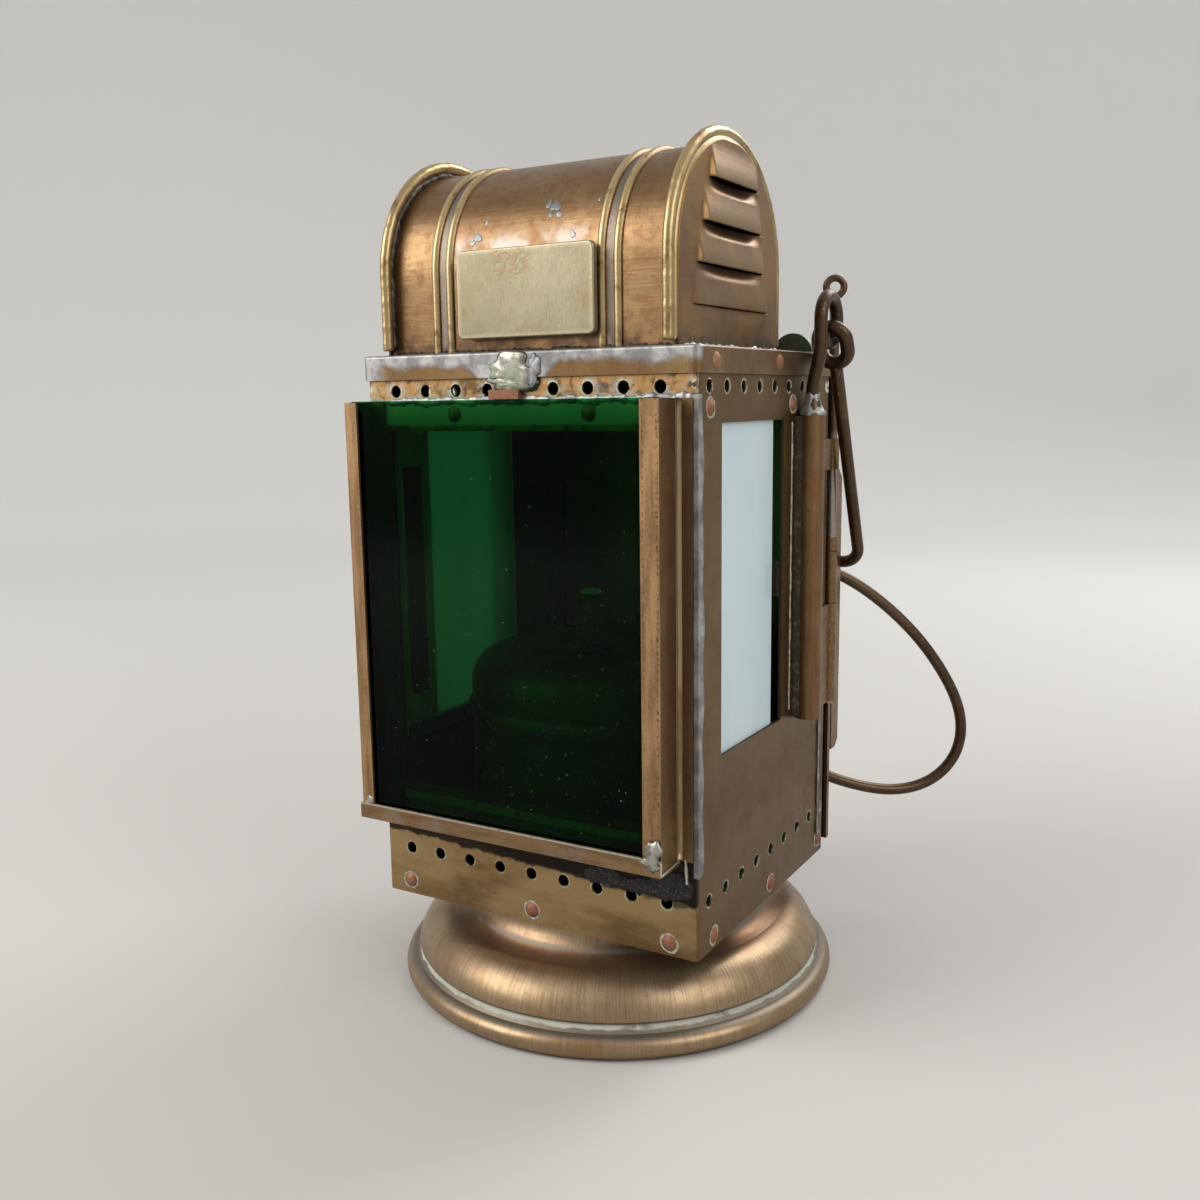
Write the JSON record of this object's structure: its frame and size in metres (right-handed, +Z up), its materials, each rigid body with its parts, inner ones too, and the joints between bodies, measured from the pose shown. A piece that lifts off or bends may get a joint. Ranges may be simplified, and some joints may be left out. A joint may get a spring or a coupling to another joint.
{
  "type": "carbide signal lamp",
  "caption": "Square sheet-brass hand signal lamp for acetylene gas: arched hood, green front glass, side windows, round foot, carrying bail and swivelling rear grip.",
  "frame": {"origin": "centre of the underside of the round foot, on the table", "axes": "+Z up through the hood, -Y out of the green front glass, +X to the lamp's right seen from the front"},
  "size_m": [0.1749, 0.1901, 0.2832],
  "materials": {
    "aged_brass": "aged, brown, satin",
    "hood_brass": "aged, worn bright on the high spots",
    "lid_brass": "aged, brown, satin",
    "foot_brass": "aged, satin, brighter on the bead",
    "tank_brass": "dull, sooty",
    "plate_brass": "brushed and worn",
    "door_brass": "aged, brown, satin",
    "frame_metal": "aged, tinned in places",
    "dark_wire": "dark brown, smooth from handling",
    "pin_wire": "dull, worn",
    "copper": "worn copper",
    "solder": "dull grey solder",
    "green_patina": "dark green patina",
    "steatite": "matt",
    "gasket_rubber": "matt",
    "green_glass": "clear deep green, dusty",
    "opal_glass": "white opal"
  },
  "bodies": {
    "lamp": {"foot_shell": "foot_brass", "foot_bottom": "foot_brass", "carbide_pot": "tank_brass", "water_tank": "tank_brass", "pot_gasket": "gasket_rubber", "filler_cap": "tank_brass", "burner_tube": "tank_brass", "burner_tip": "steatite", "burner_core": "tank_brass", "case_shell": "aged_brass", "floor_pan": "aged_brass", "top_frame": "aged_brass", "rivets_front": "copper", "rivets_right": "copper", "rivets_left": "copper", "rivets_lid": "copper", "lid": "lid_brass", "hood_skin": "hood_brass", "hood_end_right": "hood_brass", "hood_end_left": "hood_brass", "bare_plate": "plate_brass", "plate_strip": "hood_brass", "rear_lug": "green_patina", "glass_guide_right": "frame_metal", "glass_guide_left": "frame_metal", "glass_trough": "frame_metal", "slot_strip_left": "frame_metal", "slot_strip_right": "frame_metal", "opal_pane_right": "opal_glass", "opal_pane_left": "opal_glass", "pane_trough_right": "aged_brass", "pane_trough_left": "aged_brass", "pane_clip_right": "aged_brass", "pane_strip_left": "aged_brass", "corner_solder": "solder", "lid_tab": "copper", "lid_patch": "solder", "side_tube_right": "aged_brass", "side_tube_left": "aged_brass", "tube_solder_right": "solder", "tube_solder_left": "solder", "eye_rod_right": "dark_wire", "eye_rod_left": "dark_wire", "door_pan": "door_brass", "door_channel": "door_brass", "hinge_case_low": "aged_brass", "hinge_case_high": "aged_brass", "hinge_door": "aged_brass", "hinge_collar": "aged_brass", "grip_ear_high": "aged_brass", "grip_ear_low": "aged_brass", "door_catch": "aged_brass", "catch_keeper": "aged_brass", "door_stud": "aged_brass"},
    "glass": {"green_glass": "green_glass"},
    "bail": {"bail": "dark_wire"},
    "pin": {"hinge_pin": "pin_wire"},
    "grip": {"rear_grip": "dark_wire"}
  },
  "joints": [
    {"name": "glass_lift", "type": "slide", "parent": "lamp", "child": "glass", "axis": [0, 0, 1], "range_m": [0, 0.14]},
    {"name": "bail_swing", "type": "hinge", "parent": "lamp", "child": "bail", "pos_m": [0, 0.0258, 0.228], "axis": [1, 0, 0], "range_deg": [0, 212]},
    {"name": "pin_draw", "type": "slide", "parent": "lamp", "child": "pin", "axis": [0, 0, 1], "range_m": [0, 0.15]},
    {"name": "grip_swivel", "type": "hinge", "parent": "lamp", "child": "grip", "pos_m": [0.046, 0.072, 0.09], "axis": [0, 0, 1], "range_deg": [-32, 132]}
  ]
}
